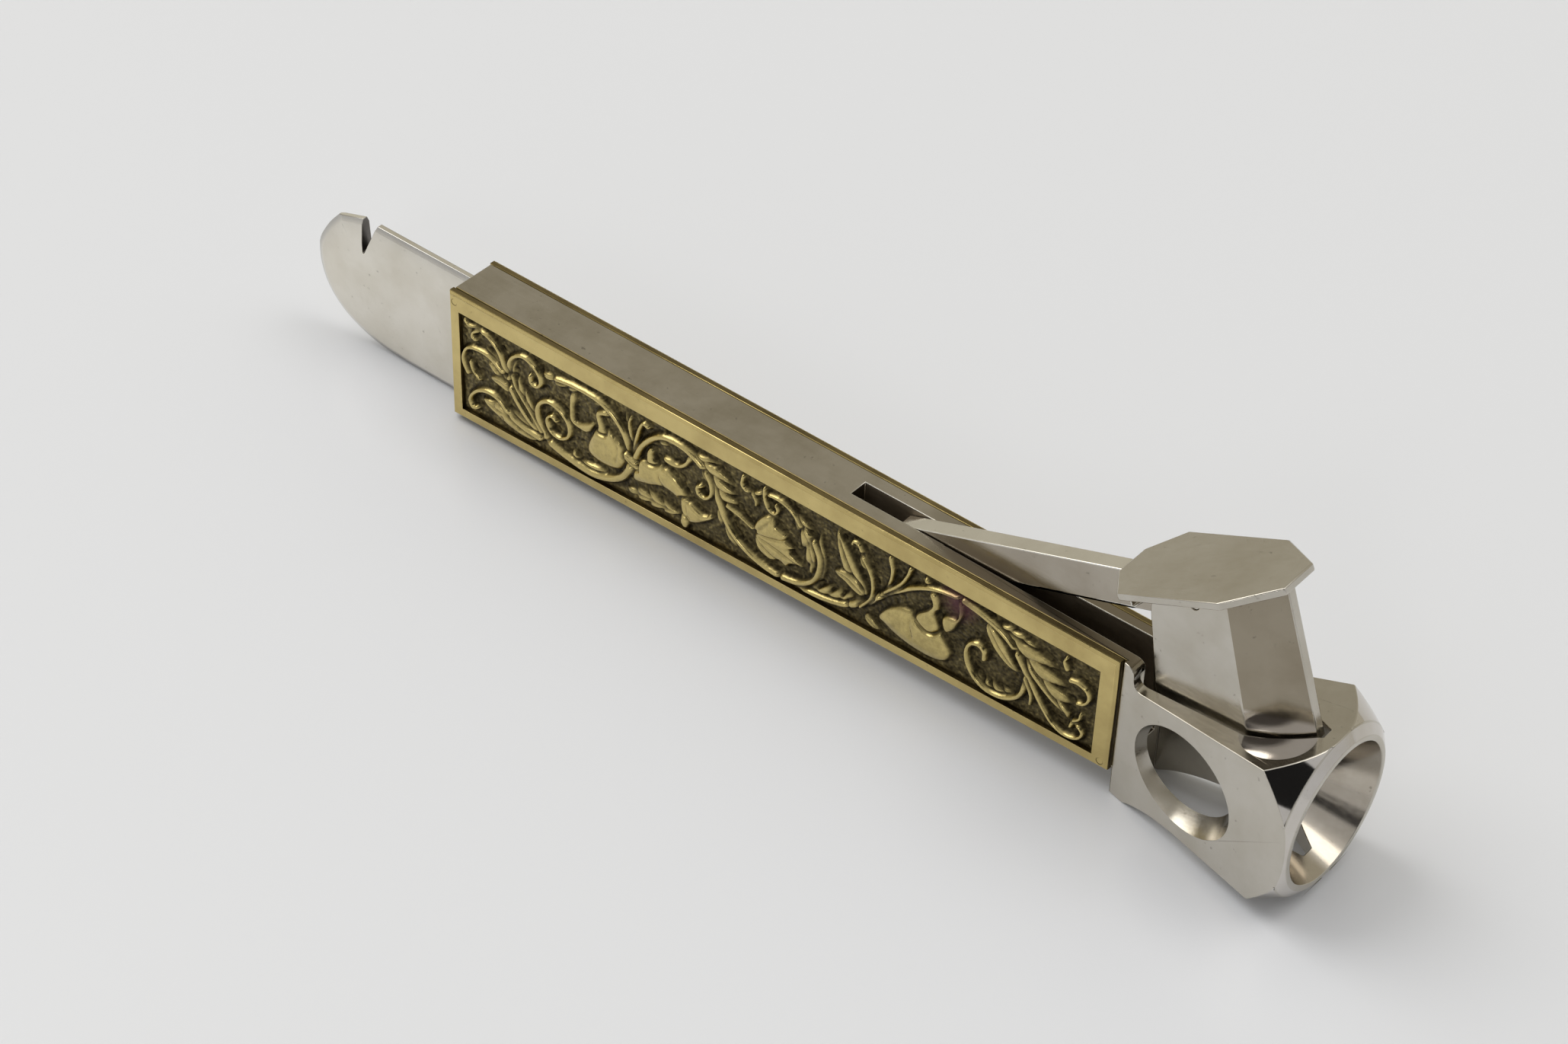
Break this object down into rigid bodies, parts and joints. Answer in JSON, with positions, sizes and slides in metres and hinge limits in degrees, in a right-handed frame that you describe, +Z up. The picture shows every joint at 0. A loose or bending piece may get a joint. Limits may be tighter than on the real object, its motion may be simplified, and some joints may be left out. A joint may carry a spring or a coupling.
{
  "type": "cigar cutter",
  "caption": "Pocket cigar cutter with ornament plates on the handle, a sprung thumb lever driving a V blade through a flared head, and a box-opener blade.",
  "frame": {"origin": "centre of the bounding box on the table it lies on, lever raised", "axes": "+X along the handle from the opener blade to the bore mouth, +Z up through the thumb pad, Y = 0 is the middle plane"},
  "size_m": [0.147, 0.0188, 0.0384],
  "materials": {
    "nickel": "satin nickel plate on steel, worn and softly stained",
    "steel": "satin steel with polished edges",
    "brass": "aged gilt brass with a dark patina in the sunk field",
    "spring_steel": "dark tempered steel"
  },
  "bodies": {
    "frame": {"body": "nickel", "opener_blade": "steel", "front_plate": "brass", "rear_plate": "brass", "opener_rivet_near": "steel", "opener_rivet_far": "steel", "pivot_pin": "steel", "spring_pin": "steel", "front_plate_pin_butt": "brass", "rear_plate_pin_butt": "brass", "front_plate_pin_neck": "brass", "rear_plate_pin_neck": "brass", "return_spring": "spring_steel"},
    "lever": {"lever_arm": "nickel", "thumb_pad": "nickel", "pad_stud": "steel", "cutter_blade": "steel", "blade_rivet_back": "steel", "blade_rivet_front": "steel"}
  },
  "joints": [
    {"name": "lever_hinge", "type": "hinge", "parent": "frame", "child": "lever", "pos_m": [0.01985, 0, 0.0125], "axis": [0, 1, 0], "range_deg": [0, 19.5], "stiffness_Nm_per_rad": 0.6, "springref_deg": -11.46, "deforming": ["return_spring"]}
  ]
}
